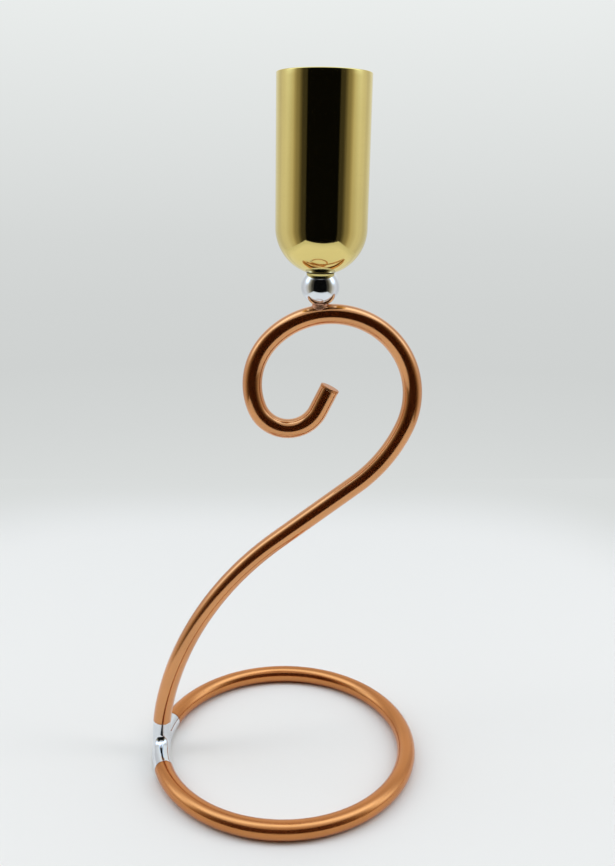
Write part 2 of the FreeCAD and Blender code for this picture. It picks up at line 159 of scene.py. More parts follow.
class HolderFinish(bpy.types.PropertyGroup):
    """Colours of the metals and of the washer's near-black fibre, which also paints the dark shade
    line in the crease between the ball and the cup.
    """

    copper: rgb("Copper", "Polished copper of the scroll", (0.69, 0.325, 0.118))
    satin_copper: rgb("Satin copper", "Satin copper of the ring", (0.60, 0.262, 0.083))
    brass: rgb("Brass", "Polished brass of the cup", (0.81, 0.66, 0.24))
    chrome: rgb("Chrome", "Chrome of the tee and the ball", (0.77, 0.80, 0.84))
    boss_copper: rgb("Boss copper", "Pinkish copper of the boss and its braze", (0.88, 0.45, 0.28))
    plug_copper: rgb("Plug copper", "Pale copper of the free end's disc", (0.67, 0.28, 0.105))
    zinc: rgb("Zinc", "Zinc plate of the screw and its washer", (0.62, 0.62, 0.60))
    # Near black: a real washer, whose colour also paints the dark shade line in the crease between
    # the ball and the cup.
    fibre: rgb("Fibre", "Dark fibre of the washer under the cup", (0.03, 0.02, 0.015))


class HolderStage(bpy.types.PropertyGroup):
    """Floor, tent light and camera."""

    floor_colour: rgb("Floor", "Colour of the floor", (0.86, 0.79, 0.71))
    wall_tint: rgb("Wall tint", "Tint of the background, at full brightness", (0.97, 1.0, 0.99))
    floor_half_width: metres("Floor half width", "From the object to each side of the floor", 0.42)
    floor_front: metres("Floor front", "Front edge of the floor", -0.44)
    floor_back: metres("Floor back", "Back edge of the floor", 0.46)
    fade_width: metres("Fade width", "Band where the floor fades into the background", 0.16)
    opening_turn: degrees("Opening turn", "Tent's opening, turned to the right", -3.7)
    opening_high: degrees("Opening high edge", "Upper edge of the tent's opening", 46)
    glow_height: degrees("Glow height", "Height of the lamps behind the tent's sides", 26)
    glow_width: degrees("Glow width", "Spread of the lamps' light on the tent's sides", 14)
    glow_light: scalar("Glow light", "Light added where the lamps shine", 1.4, min=0)
    ceiling: rgb("Ceiling", "Brightness of the tent's ceiling", (0.6, 0.6, 0.6))
    top_light: scalar("Top light", "Light of the lamps in a row over the tent", 1.75, min=0)
    top_width: degrees("Top width", "Spread of the top lamps' light to the front and back", 17)
    lamp_tint: rgb("Lamp tint", "Cool tint of the lamps' light on the tent", (0.75, 1.0, 1.3), 2)
    tent_light: scalar("Tent light", "Brightness of the tent", 1.0, min=0)
    lamp_power: scalar("Lamp power", "Power of each side lamp", 0.9, min=0, unit="POWER")
    lens: scalar("Lens", "Focal length", 0.035504, unit="CAMERA")
    camera_place: bpy.props.FloatVectorProperty(
        name="Camera",
        description="Place of the camera",
        subtype="TRANSLATION",
        unit="LENGTH",
        default=(-0.01157, -0.42085, 0.31784),
    )
    camera_yaw: degrees("Yaw", "Camera turned to the left", -3)
    camera_pitch: degrees("Pitch", "Camera raised above the level", -16.749)
    camera_roll: degrees("Roll", "Camera tipped sideways", 0.978)


# Tent against the turn away from the middle of its opening: degrees, brightness and warmth.
TENT_SIDES = (
    (0, 0.002, 0.0), (38, 0.002, 0.0), (41, 0.045, 0.8), (50, 0.05, 1.0), (55, 0.12, 1.0),
    (61, 0.25, 0.9), (66, 0.27, 0.9), (72, 0.40, 0.8), (78, 0.56, 0.5), (85, 0.59, 0.3),
    (92, 0.65, 0.1), (99, 0.72, 0.0), (115, 0.70, 0.0), (125, 0.62, 0.0), (150, 0.62, 0.0),
    (180, 0.66, 0.0),
)
# Background against its height above the horizon: degrees and brightness.
WALL_HEIGHTS = (
    (-25, 0.82), (-20, 0.715), (-16, 0.672), (-12, 0.645), (-8, 0.658), (-4, 0.684),
    (0, 0.730), (4, 0.776), (10, 0.847), (20, 0.87),
)
# The background's tone that the floor's edges fade into.
FAR_TONE = WALL_HEIGHTS[1][1]
# Green and blue that a tone of full warmth lacks.
WARM_GREEN, WARM_BLUE = 0.12, 0.4
# Softness of the opening's upper edge, the heights where the top lamps' light comes in, the turns
# where metal starts to see the wall and the heights where it stops, all in degrees.
OPENING_SOFT = 2
TOP_LAMPS = (30, 55)
WALL_TURNS = (125, 150)
WALL_TOP = (30, 58)
# Side lamps: turn from the camera's side and height in degrees, distance, size and aim.
LAMP_TURN, LAMP_HEIGHT = 83, 28
LAMP_DISTANCE = 0.8
LAMP_SIZE = (0.22, 0.4)
LAMP_AIM = Vector((0, 0, 0.18))
SENSOR_WIDTH = 36
FLOOR_ROUGHNESS, FLOOR_SHINE = 0.85, 0.15

# Scale and detail of each noise pattern in the materials.
CLOUDS = (26.0, 2.0)
SMEARS = (110.0, 4.0)
LINES = (5200.0, 2.0)
FINE_LINES = (14000.0, 1.0)
STAINS = (420.0, 5.0)
SCRATCHES = (900.0, 2.0)
SPECKS = (2500.0, 3.0)
# Values of each pattern between which it changes the colour, the roughness or the wear.
CLOUD_TONES = (0.35, 0.65)
LINE_TONES, LINE_GLOSS = (0.60, 0.80), (0.3, 0.8)
STAIN_TONES, STAIN_GLOSS = (0.68, 0.80), (0.62, 0.8)
SMEAR_WEAR, SMEAR_GLOSS = (0.3, 0.7), (0.3, 0.75)
SPECK_TONES, SPECK_GLOSS = (0.35, 0.7), (0.3, 0.7)
CUTS = (0.70, 0.74)
# Depth of a cut and of the fine lines beside the lines, and the strength of the marks.
CUT_DEPTH, FINE_DEPTH = 2.0, 0.5
MARKS, FIBRE_MARKS = 0.25, 0.4
FIBRE_DEPTH = 0.00003
FIBRE_SHADES, FIBRE_GLOSS = (0.7, 2.0), (0.7, 0.9)
# A stain's roughness against a line's.
DULL_STAINS = 2
# Share of wear at a tube's end and where it is least, and where along the tube it begins and ends.
WEAR, LEAST_WEAR = 0.7, 0.3
WEAR_FULL, WEAR_END = 0.0002, 0.0022

# Steps of the turned outlines, faces round the small pieces, and steps along a tight bend.
DOME_STEPS, WALL_STEPS, RIM_STEPS = 40, 28, 6
BALL_STEPS, CAP_STEPS, BEAD_STEPS = 64, 8, 8
SMALL_SIDES, TIGHT_STEPS = 96, 24
# Parts of the scroll's route before its crown.
BEFORE_CROWN = 4
# Gap round a plug in its tube, the boss's hole and broken edge, and its step into the tube.
PLUG_GAP = 0.00005
BOSS_HOLE = 0.00205
BOSS_EDGE = 0.00015
BOSS_STEP = 0.0004
SEAT_WASHER_EDGE, CUP_WASHER_EDGE = 0.00005, 0.0001
# Broken edge of the tee's plugs, in joint grooves, and how the tee's fillet is smoothed.
PLUG_EDGE = 4
ARM_SHARE = 0.75
FILLET_CUTS = 20
FILLET_ROUNDS = 8
SURFACE_ROUNDS = 4
SMOOTHING = 0.5
NEAR_SURFACE = 0.0001
UP = Vector((0, 0, 1))
SIDEWAYS = Vector((0, 1, 0))
SHARP_ANGLE = math.radians(35)
MERGE_DISTANCE = 1e-7


def tube_sizes():
    return bpy.context.scene.holder_tube


def cup_sizes():
    return bpy.context.scene.holder_cup


def finish_colours():
    return bpy.context.scene.holder_finish


def stage_settings():
    return bpy.context.scene.holder_stage


class Nodes:
    """Adds shader nodes to a tree and joins them."""

    def __init__(self, tree):
        self.tree = tree

    def add(self, kind, inputs=None, **settings):
        node = self.tree.nodes.new(kind)
        for name, value in settings.items():
            setattr(node, name, value)
        for name, value in (inputs or {}).items():
            self.feed(node.inputs[name], value)
        return node

    def feed(self, socket, value):
        if isinstance(value, bpy.types.NodeSocket):
            self.tree.links.new(value, socket)
        else:
            socket.default_value = value

    def maths(self, operation, *values):
        node = self.add("ShaderNodeMath", operation=operation)
        for socket, value in zip(node.inputs, values):
            self.feed(socket, value)
        return node.outputs[0]

    def times(self, first, second):
        return self.maths("MULTIPLY", first, second)

    def noise(self, place, pattern, stretch=None):
        """Cloudy pattern from 0 to 1, drawn out along an axis by stretch."""
        scale, detail = pattern
        if stretch:
            mapping = self.add("ShaderNodeMapping", {"Vector": place, "Scale": stretch})
            place = mapping.outputs[0]
        inputs = {"Vector": place, "Scale": scale, "Detail": detail}
        return self.add("ShaderNodeTexNoise", inputs).outputs[0]

    def span(self, value, low, high, new_low=0.0, new_high=1.0, smooth=False):
        node = self.add("ShaderNodeMapRange")
        node.interpolation_type = "SMOOTHSTEP" if smooth else "LINEAR"
        for number, item in enumerate((value, low, high, new_low, new_high)):
            self.feed(node.inputs[number], item)
        return node.outputs[0]

    def blend(self, share, first, second, kind="MIX"):
        """Colour that goes from the first to the second with the share."""
        node = self.add(
            "ShaderNodeMix", {0: share, 6: first, 7: second}, data_type="RGBA", blend_type=kind
        )
        return node.outputs[2]

    def bump(self, shader, height, strength, depth):
        inputs = {"Height": height, "Strength": strength, "Distance": depth}
        self.feed(shader.inputs["Normal"], self.add("ShaderNodeBump", inputs).outputs[0])

    def mix_shaders(self, share, first, second):
        """Sends the first shader to the output, with the second over it by the share."""
        inputs = {0: share, 1: first.outputs[0], 2: second.outputs[0]}
        mix = self.add("ShaderNodeMixShader", inputs)
        self.feed(self.tree.nodes["Material Output"].inputs["Surface"], mix.outputs[0])

    def vector(self, operation, first, second):
        inputs = {0: first, 1: second}
        return self.add("ShaderNodeVectorMath", inputs, operation=operation).outputs[0]


def opaque(colour, strength=1.0):
    """Colour with its brightness changed, as four numbers."""
    return (*[min(1.0, part * strength) for part in colour], 1.0)


def new_material(name):
    material = bpy.data.materials.new(name)
    material.use_nodes = True
    nodes = Nodes(material.node_tree)
    shader = material.node_tree.nodes["Principled BSDF"]
    shader.inputs["Metallic"].default_value = 1.0
    return material, nodes, shader


def object_place(nodes):
    return nodes.add("ShaderNodeTexCoord").outputs["Object"]


def straight_place(nodes):
    """Place on the tube as if it were straight, with Z along it."""
    return nodes.add("ShaderNodeAttribute", attribute_name="straight").outputs["Vector"]


ALONG = (1.0, 1.0, 0.01)
AROUND = (0.02, 0.02, 1.0)
EVEN = (1.0, 1.0, 1.0)
WHITE_VEIL, RED_VEIL = (1.0, 1.0, 1.0), (1.0, 0.35, 0.14)


class Look(NamedTuple):
    """Finish of a metal. Shades are its dark, light and stained parts. Grain and scratch draw its
    lines out along each axis. Gloss is the least and most roughness and what a line adds, depth is
    the marks' height, and haze is a thin dull film in the veil's tint."""

    colour: str
    shades: tuple
    streaks: float
    stains: float
    gloss: tuple
    scratch: tuple
    haze: float
    grain: tuple = EVEN
    depth: float = 0.00002
    veil: tuple = WHITE_VEIL
    lacquer: float = 0.0


LOOKS = {
    "polished_copper": Look(
        "copper", shades=(0.93, 1.05, 0.6), grain=ALONG, streaks=0.35, stains=0.3,
        gloss=(0.09, 0.14, 0.05), scratch=(1.0, 1.0, 0.06), depth=0.0000006, haze=0.12,
        veil=RED_VEIL, lacquer=0.8,
    ),
    "satin_copper": Look(
        "satin_copper", shades=(0.93, 1.06, 0.6), grain=ALONG, streaks=0.45, stains=0.35,
        gloss=(0.15, 0.22, 0.04), scratch=(1.0, 1.0, 0.08), depth=0.0000025, haze=0.15,
        veil=RED_VEIL, lacquer=0.25,
    ),
    "tee_chrome": Look(
        "chrome", shades=(0.97, 1.05, 0.75), streaks=0.2, stains=0.25,
        gloss=(0.04, 0.09, 0.04), scratch=(1.0, 0.1, 1.0), depth=0.000006, haze=0.01,
    ),
    "ball_chrome": Look(
        "chrome", shades=(1.02, 1.1, 0.75), grain=AROUND, streaks=0.15, stains=0.2,
        gloss=(0.03, 0.06, 0.03), scratch=(0.1, 1.0, 1.0), depth=0.000004, haze=0.008,
    ),
    "polished_brass": Look(
        "brass", shades=(0.96, 1.04, 0.7), grain=AROUND, streaks=0.25, stains=0.2,
        gloss=(0.04, 0.08, 0.03), scratch=(1.0, 1.0, 0.08), depth=0.000006, haze=0.004,
    ),
    "boss_copper": Look(
        "boss_copper", shades=(0.9, 1.05, 0.55), streaks=0.3, stains=0.5,
        gloss=(0.12, 0.24, 0.05), scratch=(1.0, 1.0, 0.2), haze=0.5,
    ),
    "plug_copper": Look(
        "plug_copper", shades=(0.95, 1.05, 0.7), streaks=0.3, stains=0.3,
        gloss=(0.22, 0.34, 0.06), scratch=(1.0, 0.15, 1.0), haze=0.2,
    ),
    "zinc_plate": Look(
        "zinc", shades=(0.9, 1.08, 0.6), streaks=0.4, stains=0.5,
        gloss=(0.2, 0.34, 0.08), scratch=(1.0, 0.1, 1.0), haze=0.12,
    ),
}


def metal(name, worn=None):
    """Metal with colour clouds, smears, grain lines and scratches under a thin haze. On a tube its
    lines follow the tube, and worn gives the wear from the place along it."""
    look = LOOKS[name]
    material, nodes, shader = new_material(name)
    place = straight_place(nodes) if worn else object_place(nodes)
    colour = getattr(finish_colours(), look.colour)
    dark, light, stained = (opaque(colour, part) for part in look.shades)
    clouds = nodes.noise(place, CLOUDS)
    smears = nodes.noise(place, SMEARS)
    lines = nodes.noise(place, LINES, look.grain)
    fine_lines = nodes.noise(place, FINE_LINES, look.grain)
    stains = nodes.noise(place, STAINS)
    scratches = nodes.noise(place, SCRATCHES, look.scratch)
    tone = nodes.blend(nodes.span(clouds, *CLOUD_TONES), dark, light)
    tone = nodes.blend(nodes.span(lines, *LINE_TONES, 0.0, look.streaks), tone, stained)
    tone = nodes.blend(nodes.span(stains, *STAIN_TONES, 0.0, look.stains), tone, stained)
    if worn:
        along = nodes.add("ShaderNodeSeparateXYZ", {0: place}).outputs["Z"]
        ragged = nodes.span(smears, *SMEAR_WEAR, LEAST_WEAR)
        tone = nodes.blend(nodes.times(worn(nodes, along), ragged), tone, stained)
    nodes.feed(shader.inputs["Base Color"], tone)
    low, high, added = look.gloss
    rough = nodes.span(smears, *SMEAR_GLOSS, low, high)
    rough = nodes.maths("ADD", rough, nodes.span(lines, *LINE_GLOSS, 0.0, added))
    rough = nodes.maths("ADD", rough, nodes.span(stains, *STAIN_GLOSS, 0.0, added * DULL_STAINS))
    nodes.feed(shader.inputs["Roughness"], rough)
    height = nodes.maths("ADD", lines, nodes.times(fine_lines, FINE_DEPTH))
    cuts = nodes.span(scratches, *CUTS, 0.0, -CUT_DEPTH)
    nodes.bump(shader, nodes.maths("ADD", height, cuts), MARKS, look.depth)
    shader.inputs["Coat Weight"].default_value = look.lacquer
    veil = nodes.blend(1.0, tone, opaque(look.veil), kind="MULTIPLY")
    haze = nodes.add("ShaderNodeBsdfDiffuse", {"Color": veil})
    nodes.mix_shaders(look.haze, shader, haze)
    return material


def scroll_copper():
    """Polished copper, worn where the tube leaves the tee."""

    def worn(nodes, along):
        return nodes.span(along, WEAR_FULL, WEAR_END, WEAR, 0.0, smooth=True)

    return metal("polished_copper", worn)


def ring_copper():
    """Satin copper, worn at both ends of the ring."""
    sizes = tube_sizes()
    half = sizes.ring_radius * math.pi - sizes.tee_reach

    def worn(nodes, along):
        from_middle = nodes.maths("ABSOLUTE", nodes.maths("SUBTRACT", along, half))
        return nodes.span(from_middle, half - WEAR_END, half - WEAR_FULL, 0.0, WEAR, smooth=True)

    return metal("satin_copper", worn)


# Seat washer's fibre: near black, so it also paints the dark shade line in the crease between the
# ball and the cup.
def washer_fibre_and_painted_shade():
    material, nodes, shader = new_material("fibre")
    shader.inputs["Metallic"].default_value = 0.0
    specks = nodes.noise(object_place(nodes), SPECKS)
    dark, light = (opaque(finish_colours().fibre, part) for part in FIBRE_SHADES)
    tone = nodes.blend(nodes.span(specks, *SPECK_TONES), dark, light)
    nodes.feed(shader.inputs["Base Color"], tone)
    nodes.feed(shader.inputs["Roughness"], nodes.span(specks, *SPECK_GLOSS, *FIBRE_GLOSS))
    nodes.bump(shader, specks, FIBRE_MARKS, FIBRE_DEPTH)
    return material


def only(kind, items):
    return [item for item in items if isinstance(item, kind)]


def add_object(name, data):
    item = bpy.data.objects.new(name, data)
    bpy.context.scene.collection.objects.link(item)
    return item


def add_mesh(bm, name, material):
    mesh = bpy.data.meshes.new(name)
    bm.to_mesh(mesh)
    bm.free()
    mesh.materials.append(material)
    return add_object(name, mesh)


def finish_piece(bm, name, material):
    """Makes a bmesh the piece that stands for the node of its name."""
    bmesh.ops.remove_doubles(bm, verts=bm.verts, dist=MERGE_DISTANCE)
    bmesh.ops.recalc_face_normals(bm, faces=bm.faces)
    for face in bm.faces:
        face.smooth = True
    for edge in bm.edges:
        edge.smooth = len(edge.link_faces) == 2 and edge.calc_face_angle() < SHARP_ANGLE
    piece = add_mesh(bm, "shown_" + name, material)
    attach(piece, BODY)
    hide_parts(name)


def edges_among(verts):
    """Edges with both ends in the verts."""
    inside = set(verts)
    edges = {edge for vert in verts for edge in vert.link_edges}
    return [edge for edge in edges if set(edge.verts) <= inside]


class Bender:
    """Draws a tube through straight runs and bends, one short step at a time. Each vertex keeps
    its place on the straight tube, so that drawn lines in the metal follow the bends."""

    def __init__(self, bm, start, heading, side, radius, sides):
        self.bm = bm
        self.place = Vector(start)
        self.heading = Vector(heading).normalized()
        self.length = 0.0
        self.straight = bm.verts.layers.float_vector.new("straight")
        side = Vector(side)
        across = self.heading.cross(side)
        turn = Matrix((side, across, self.heading)).transposed().to_4x4()
        made = bmesh.ops.create_circle(
            bm, segments=sides, radius=radius, matrix=Matrix.Translation(self.place) @ turn
        )
        self.loop = made["verts"]
        for vert in self.loop:
            offset = vert.co - self.place
            vert[self.straight] = (offset.dot(side), offset.dot(across), 0.0)
        self.first_loop = list(self.loop)

    def extrude(self, advance):
        """New loop from the last one, further on by the advance."""
        before = set(self.loop)
        made = bmesh.ops.extrude_edge_only(self.bm, edges=edges_among(self.loop))
        self.loop = only(bmesh.types.BMVert, made["geom"])
        self.length += advance
        for vert in self.loop:
            old = next(e.other_vert(vert) for e in vert.link_edges if e.other_vert(vert) in before)
            vert[self.straight] = (*old[self.straight].xy, self.length)

    def run(self, length, step):
        count = max(1, round(length / step))
        for _ in range(count):
            self.extrude(length / count)
            move = self.heading * (length / count)
            bmesh.ops.translate(self.bm, verts=self.loop, vec=move)
            self.place += move

    def bend(self, centre, axis, angle, step):
        """Turns about an axis through the centre by the right-hand rule."""
        radius = (self.place - centre).cross(Vector(axis)).length
        count = max(1, round(abs(angle) * radius / step))
        turn = Matrix.Rotation(angle / count, 3, Vector(axis))
        for _ in range(count):
            self.extrude(abs(angle) * radius / count)
            bmesh.ops.rotate(self.bm, verts=self.loop, cent=centre, matrix=turn)
            self.place = centre + turn @ (self.place - centre)
            self.heading = turn @ self.heading

    def bend_flat(self, radius, angle, step):
        """Bends in the XZ plane, to +X where the angle is positive."""
        centre = bend_centre(self.place, self.heading, radius, angle)
        self.bend(centre, SIDEWAYS, angle, step)

    def scale_loop(self, factor):
        shift = Matrix.Translation(-self.place)
        bmesh.ops.scale(self.bm, verts=self.loop, vec=(factor,) * 3, space=shift)

    def break_edge(self, radius, depth):
        """Small broken edge at the end of the tube."""
        self.extrude(depth)
        self.scale_loop(1 - depth / radius)
        bmesh.ops.translate(self.bm, verts=self.loop, vec=self.heading * depth)
        self.place += self.heading * depth

    def open_mouth(self, radius, new_radius, bore):
        """Wall of the tube's end, and the bore that goes back into the tube."""
        self.extrude(0)
        self.scale_loop(new_radius / radius)
        self.heading = -self.heading
        bore(self)
        self.close()

    def close(self):
        bmesh.ops.contextual_create(self.bm, geom=edges_among(self.loop))

    def turn_back(self, start, heading):
        """Takes the first loop as the last, to finish the tube's other end."""
        self.loop = self.first_loop
        self.place = Vector(start)
        self.heading = Vector(heading)


def finish_tube_end(bender, groove, bore):
    """Broken edge, wall and bore at one end of a tube."""
    sizes = tube_sizes()
    radius = sizes.tube_radius
    bender.break_edge(radius, groove)
    bender.open_mouth(radius - groove, radius - sizes.wall, bore)


def on_ring(azimuth):
    """Place and heading on the ring's centre line."""
    sizes = tube_sizes()
    place = Vector((math.cos(azimuth), math.sin(azimuth), 0)) * sizes.ring_radius
    place.z = sizes.tube_radius
    return place, Vector((-math.sin(azimuth), math.cos(azimuth), 0))


def make_base_ring():
    sizes = tube_sizes()
    reach = (sizes.tee_reach + sizes.joint_groove) / sizes.ring_radius
    start, heading = on_ring(math.pi + reach)
    centre = Vector((0, 0, start.z))
    depth = sizes.bore_depth / sizes.ring_radius
    bm = bmesh.new()
    bender = Bender(bm, start, heading, UP, sizes.tube_radius, sizes.sides)
    bender.bend(centre, UP, math.tau - 2 * reach, sizes.step)
    groove = sizes.joint_groove
    finish_tube_end(bender, groove, lambda pen: pen.bend(centre, -UP, depth, sizes.step))
    bender.turn_back(start, -heading)
    finish_tube_end(bender, groove, lambda pen: pen.bend(centre, UP, depth, sizes.step))
    finish_piece(bm, "base_ring", ring_copper())


def arm_top():
    """Place and heading of the tee's arm where the scroll starts."""
    sizes = tube_sizes()
    x = -sizes.ring_radius + sizes.foot_radius * (1 - math.cos(sizes.arm_turn))
    z = sizes.tube_radius + sizes.arm_rise + sizes.foot_radius * math.sin(sizes.arm_turn)
    heading = Vector((math.sin(sizes.arm_turn), 0, math.cos(sizes.arm_turn)))
    return Vector((x, 0, z)), heading


def scroll_route():
    """Bends of the scroll as radius and turn, and straight runs as 0 and length."""
    sizes = tube_sizes()
    return (
        (sizes.foot_radius, sizes.foot_turn),
        (sizes.stem_radius, sizes.stem_turn),
        (0, sizes.diagonal_run),
        (sizes.shoulder_radius, -sizes.shoulder_turn),
        (sizes.crown_radius, -sizes.crown_turn),
        (sizes.loop_radius, -sizes.loop_turn),
        (sizes.curl_radius, -sizes.curl_turn),
        (0, sizes.tip_run),
    )


def bend_centre(place, heading, radius, angle):
    """Centre of a bend in the XZ plane, on +X's side of an upright tube for a positive angle."""
    return place + SIDEWAYS.cross(heading) * math.copysign(radius, angle)


def scroll_place(parts):
    """Place and heading on the scroll's centre line after its first parts."""
    place, heading = arm_top()
    for radius, amount in scroll_route()[:parts]:
        if radius:
            centre = bend_centre(place, heading, radius, amount)
            turn = Matrix.Rotation(amount, 3, "Y")
            place, heading = centre + turn @ (place - centre), turn @ heading
        else:
            place = place + heading * amount
    return place, heading


def make_scroll_tube():
    sizes = tube_sizes()
    start, heading = arm_top()
    bm = bmesh.new()
    bender = Bender(bm, start, heading, SIDEWAYS, sizes.tube_radius, sizes.sides)
    for radius, amount in scroll_route()[:-1]:
        if radius:
            bender.bend_flat(radius, amount, min(sizes.step, radius / TIGHT_STEPS))
        else:
            bender.run(amount, sizes.step)
    bender.run(sizes.tip_run - sizes.joint_groove, sizes.step)
    depth = sizes.bore_depth
    finish_tube_end(bender, sizes.joint_groove, lambda pen: pen.run(depth, depth))
    bender.turn_back(start, -heading)
    turn = depth / sizes.foot_radius
    finish_tube_end(bender, 0, lambda pen: pen.bend_flat(sizes.foot_radius, turn, sizes.step))
    finish_piece(bm, "scroll_tube", scroll_copper())


class Pen:
    """Draws half an outline in the XZ plane, to be turned about an upright axis at X = 0."""

    def __init__(self, bm, x, z):
        self.bm = bm
        self.tip = bm.verts.new((x, 0, z))

    def line(self, x, z, steps=1):
        start = self.tip.co.copy()
        for number in range(1, steps + 1):
            made = bmesh.ops.extrude_vert_indiv(self.bm, verts=[self.tip])
            self.tip = made["verts"][0]
            self.tip.co = start.lerp(Vector((x, 0, z)), number / steps)

    def path(self, *points):
        for x, z in points:
            self.line(x, z)

    def arc(self, x, z, angle, steps):
        """Turns about x, z, from X towards -Z where the angle is positive."""
        place = {"cent": (x, 0, z), "axis": SIDEWAYS, "angle": angle, "steps": steps}
        made = bmesh.ops.spin(self.bm, geom=[self.tip], use_duplicate=False, **place)
        self.tip = only(bmesh.types.BMVert, made["geom_last"])[0]


def turn_outline(bm, sides):
    geom = bm.verts[:] + bm.edges[:]
    bmesh.ops.spin(bm, geom=geom, axis=UP, angle=math.tau, steps=sides, use_merge=True)
    bmesh.ops.remove_doubles(bm, verts=bm.verts, dist=MERGE_DISTANCE)


def raise_to(bm, height):
    bmesh.ops.translate(bm, verts=bm.verts, vec=(cup_sizes().axis_x, 0, height))


def make_candle_cup():
    sizes = cup_sizes()
    outer, inner = sizes.cup_radius, sizes.bore_radius
    wall = outer - inner
    dome = math.sqrt(outer**2 - sizes.base_radius**2)
    rim = sizes.cup_top - sizes.cup_bottom
    soft = sizes.rim_round
    inner_flat = math.sqrt(inner**2 - (dome - wall) ** 2)
    bm = bmesh.new()
    pen = Pen(bm, sizes.hole_radius, 0)
    pen.line(sizes.base_radius, 0)
    pen.arc(0, dome, -math.asin(dome / outer), DOME_STEPS)
    pen.line(outer, rim - soft, WALL_STEPS)
    pen.arc(outer - soft, rim - soft, -math.pi / 2, RIM_STEPS)
    pen.line(inner + soft, rim)
    pen.arc(inner + soft, rim - soft, -math.pi / 2, RIM_STEPS)
    pen.line(inner, dome, WALL_STEPS)
    pen.arc(0, dome, math.acos(inner_flat / inner), DOME_STEPS)
    pen.path((sizes.hole_radius, wall), (sizes.hole_radius, 0))
    turn_outline(bm, sizes.sides)
    raise_to(bm, sizes.cup_bottom)
    finish_piece(bm, "candle_cup", metal("polished_brass"))


def make_spacer_ball():
    sizes = cup_sizes()
    low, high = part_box("spacer_ball")
    radius = sizes.ball_radius
    under = sizes.ball_low
    over = high.z - low.z - under
    bm = bmesh.new()
    pen = Pen(bm, sizes.hole_radius, -under)
    pen.line(math.sqrt(radius**2 - under**2), -under)
    pen.arc(0, 0, -math.asin(under / radius) - math.asin(over / radius), BALL_STEPS)
    pen.path((sizes.hole_radius, over), (sizes.hole_radius, -under))
    turn_outline(bm, sizes.sides)
    raise_to(bm, low.z + under)
    finish_piece(bm, "spacer_ball", metal("ball_chrome"))


def make_washer(name, material, soft):
    """Flat washer with broken edges, in its node's place."""
    low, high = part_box(name)
    outer = (high.y - low.y) / 2
    inner = cup_sizes().hole_radius
    height = high.z - low.z
    bm = bmesh.new()
    pen = Pen(bm, inner, 0)
    pen.path((outer - soft, 0), (outer, soft), (outer, height - soft), (outer - soft, height))
    pen.path((inner, height), (inner, 0))
    turn_outline(bm, SMALL_SIDES)
    raise_to(bm, low.z)
    finish_piece(bm, name, material)


def make_end_plug():
    """Disc with a rounded rim on the tube's free end, and its plug inside the tube."""
    sizes = tube_sizes()
    radius, soft, top = sizes.tube_radius, sizes.cap_round, sizes.cap_thickness
    plug = radius - sizes.wall - PLUG_GAP
    bm = bmesh.new()
    pen = Pen(bm, 0, -sizes.cap_plug)
    pen.path((plug, -sizes.cap_plug), (plug, 0), (radius - soft / 4, 0), (radius, soft / 4))
    pen.line(radius, top - soft)
    pen.arc(radius - soft, top - soft, -math.pi / 2, CAP_STEPS)
    pen.path((radius / 2, top), (0, top))
    turn_outline(bm, SMALL_SIDES)
    place, heading = scroll_place(len(scroll_route()))
    stand = heading.to_track_quat("Z", "Y").to_matrix()
    bmesh.ops.rotate(bm, verts=bm.verts, cent=(0, 0, 0), matrix=stand)
    bmesh.ops.translate(bm, verts=bm.verts, vec=place)
    finish_piece(bm, "end_plug", metal("plug_copper"))


def crown_top(x, y):
    """Height of the crown bend's surface over a place beside the boss."""
    sizes = tube_sizes()
    place, heading = scroll_place(BEFORE_CROWN)
    centre = bend_centre(place, heading, sizes.crown_radius, -1)
    reach = sizes.crown_radius + math.sqrt(max(sizes.tube_radius**2 - y**2, 0))
    return centre.z + math.sqrt(reach**2 - (x - centre.x) ** 2)


def make_cup_boss():
    """Collar that the ball sits on, with a bead of braze where it meets the tube."""
    sizes = cup_sizes()
    low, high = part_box("cup_boss")
    outer, stud, bead = sizes.boss_radius, sizes.boss_stud, sizes.boss_bead
    top = high.z - BOSS_EDGE
    bm = bmesh.new()
    loop = bmesh.ops.create_circle(bm, segments=SMALL_SIDES, radius=BOSS_HOLE)["verts"]
    bmesh.ops.translate(bm, verts=loop, vec=(sizes.axis_x, 0, high.z))
    steps = [(outer - BOSS_EDGE, None, high.z), (outer, None, top)]
    for number in range(BEAD_STEPS + 1):
        turn = number / BEAD_STEPS * math.pi / 2
        steps.append((outer + bead * (1 - math.cos(turn)), bead * (1 - math.sin(turn)), None))
    steps += [(stud, -BOSS_STEP, None), (stud, None, low.z), (BOSS_HOLE, None, low.z)]
    for radius, above, level in steps:
        made = bmesh.ops.extrude_edge_only(bm, edges=edges_among(loop))
        loop = only(bmesh.types.BMVert, made["geom"])
        for vert in loop:
            out = Vector((vert.co.x - sizes.axis_x, vert.co.y)).normalized() * radius
            x = sizes.axis_x + out.x
            height = level if above is None else min(crown_top(x, out.y) + above, top)
            vert.co = (x, out.y, height)
    ends = [edge for edge in bm.edges if len(edge.link_faces) == 1]
    bmesh.ops.bridge_loops(bm, edges=ends)
    finish_piece(bm, "cup_boss", metal("boss_copper"))


def run_distance(place):
    """From a place to the surface of the tee's run, and the way out of it."""
    sizes = tube_sizes()
    level = place.xy.length
    across = Vector((level - sizes.ring_radius, place.z - sizes.tube_radius))
    out = Vector((place.x / level * across.x, place.y / level * across.x, across.y))
    return across.length - sizes.tube_radius, out.normalized()


def arm_distance(place):
    """From a place to the surface of the tee's arm, and the way out of it."""
    sizes = tube_sizes()
    foot = Vector((-sizes.ring_radius, 0, sizes.tube_radius + sizes.arm_rise))
    if place.z < foot.z:
        nearest = Vector((foot.x, 0, place.z))
    else:
        centre = foot + Vector((sizes.foot_radius, 0, 0))
        nearest = Vector((place.x, 0, place.z)) - centre
        nearest = centre + nearest.normalized() * sizes.foot_radius
    out = place - nearest
    return out.length - sizes.tube_radius, out.normalized()


